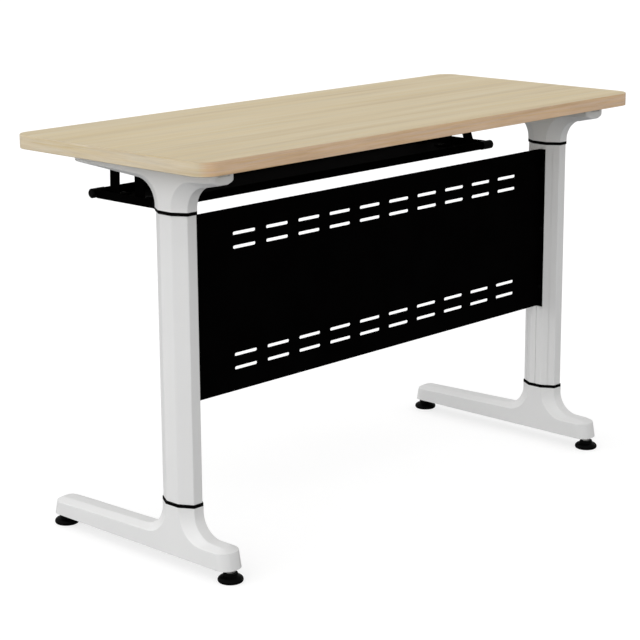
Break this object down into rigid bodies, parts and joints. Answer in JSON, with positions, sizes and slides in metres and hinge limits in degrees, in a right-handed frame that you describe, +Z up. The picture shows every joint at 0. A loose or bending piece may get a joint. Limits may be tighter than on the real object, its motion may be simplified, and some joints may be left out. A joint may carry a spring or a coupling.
{
  "type": "folding conference table",
  "caption": "Folding conference table: light-wood top that flips up on white T-legs, with a black slotted modesty panel, an under-top book shelf and levelling glides.",
  "frame": {"origin": "on the floor, under the middle of the overall box", "axes": "+X along the table towards the right leg, +Y towards the user (shelf) side, away from the modesty panel, +Z up"},
  "size_m": [1.2, 0.506, 0.75],
  "materials": {
    "white_casting": "white powder coat",
    "white_extrusion": "white powder coat",
    "white_steel": "white powder coat",
    "black_gasket": "matt",
    "black_sheet": "black powder coat",
    "black_plastic": "moulded",
    "wood_board": "light wood laminate",
    "edge_band": "light wood edge strip",
    "rubber_bumper": "matt",
    "black_fixing": "black zinc",
    "bush_plastic": "moulded",
    "zinc_insert": "zinc",
    "steel": "zinc"
  },
  "bodies": {
    "frame": {"arm_left": "white_casting", "arm_right": "white_casting", "column_left": "white_extrusion", "column_right": "white_extrusion", "foot_left": "white_casting", "foot_right": "white_casting", "gasket_lower_left": "black_gasket", "gasket_lower_right": "black_gasket", "gasket_upper_left": "black_gasket", "gasket_upper_right": "black_gasket", "hinge_pins": "steel", "leveller_inserts": "zinc_insert", "lock_bushes": "bush_plastic", "modesty_panel": "black_sheet", "panel_rivet_nuts": "zinc_insert", "panel_screws": "black_fixing", "stop_bumpers": "rubber_bumper", "tie_nuts": "steel", "tie_rod_left": "steel", "tie_rod_right": "steel", "tie_washers": "steel"},
    "top": {"hinge_bushes": "bush_plastic", "hinge_plate_left": "white_steel", "hinge_plate_right": "white_steel", "hinge_plate_screws": "steel", "shelf_cap_far_left": "black_plastic", "shelf_cap_far_right": "black_plastic", "shelf_cap_near_left": "black_plastic", "shelf_cap_near_right": "black_plastic", "shelf_end_left": "black_sheet", "shelf_end_right": "black_sheet", "shelf_hanger_far_left": "black_sheet", "shelf_hanger_far_right": "black_sheet", "shelf_hanger_middle_left": "black_sheet", "shelf_hanger_middle_right": "black_sheet", "shelf_hanger_near_left": "black_sheet", "shelf_hanger_near_right": "black_sheet", "shelf_rail_far": "black_sheet", "shelf_rail_near": "black_sheet", "shelf_rivets": "black_fixing", "shelf_screws": "black_fixing", "shelf_tray": "black_sheet", "tabletop_board": "wood_board", "tabletop_edge_band": "edge_band"},
    "glide_far_left": {"glide_pad_far_left": "black_plastic", "glide_stud_far_left": "steel"},
    "glide_far_right": {"glide_pad_far_right": "black_plastic", "glide_stud_far_right": "steel"},
    "glide_near_left": {"glide_pad_near_left": "black_plastic", "glide_stud_near_left": "steel"},
    "glide_near_right": {"glide_pad_near_right": "black_plastic", "glide_stud_near_right": "steel"},
    "lock_left": {"lock_bolt_left": "steel", "lock_knob_left": "black_plastic"},
    "lock_right": {"lock_bolt_right": "steel", "lock_knob_right": "black_plastic"}
  },
  "joints": [
    {"name": "top_flip", "type": "hinge", "parent": "frame", "child": "top", "pos_m": [0, -0.21, 0.716], "axis": [1, 0, 0], "range_deg": [0, 90]},
    {"name": "lock_slide_left", "type": "slide", "parent": "frame", "child": "lock_left", "axis": [-1, 0, 0], "range_m": [0, 0.014]},
    {"name": "lock_slide_right", "type": "slide", "parent": "frame", "child": "lock_right", "axis": [1, 0, 0], "range_m": [0, 0.014]},
    {"name": "glide_screw_near_left", "type": "slide", "parent": "frame", "child": "glide_near_left", "axis": [0, 0, 1], "range_m": [-0.012, 0]},
    {"name": "glide_screw_far_left", "type": "slide", "parent": "frame", "child": "glide_far_left", "axis": [0, 0, 1], "range_m": [-0.012, 0]},
    {"name": "glide_screw_near_right", "type": "slide", "parent": "frame", "child": "glide_near_right", "axis": [0, 0, 1], "range_m": [-0.012, 0]},
    {"name": "glide_screw_far_right", "type": "slide", "parent": "frame", "child": "glide_far_right", "axis": [0, 0, 1], "range_m": [-0.012, 0]}
  ]
}
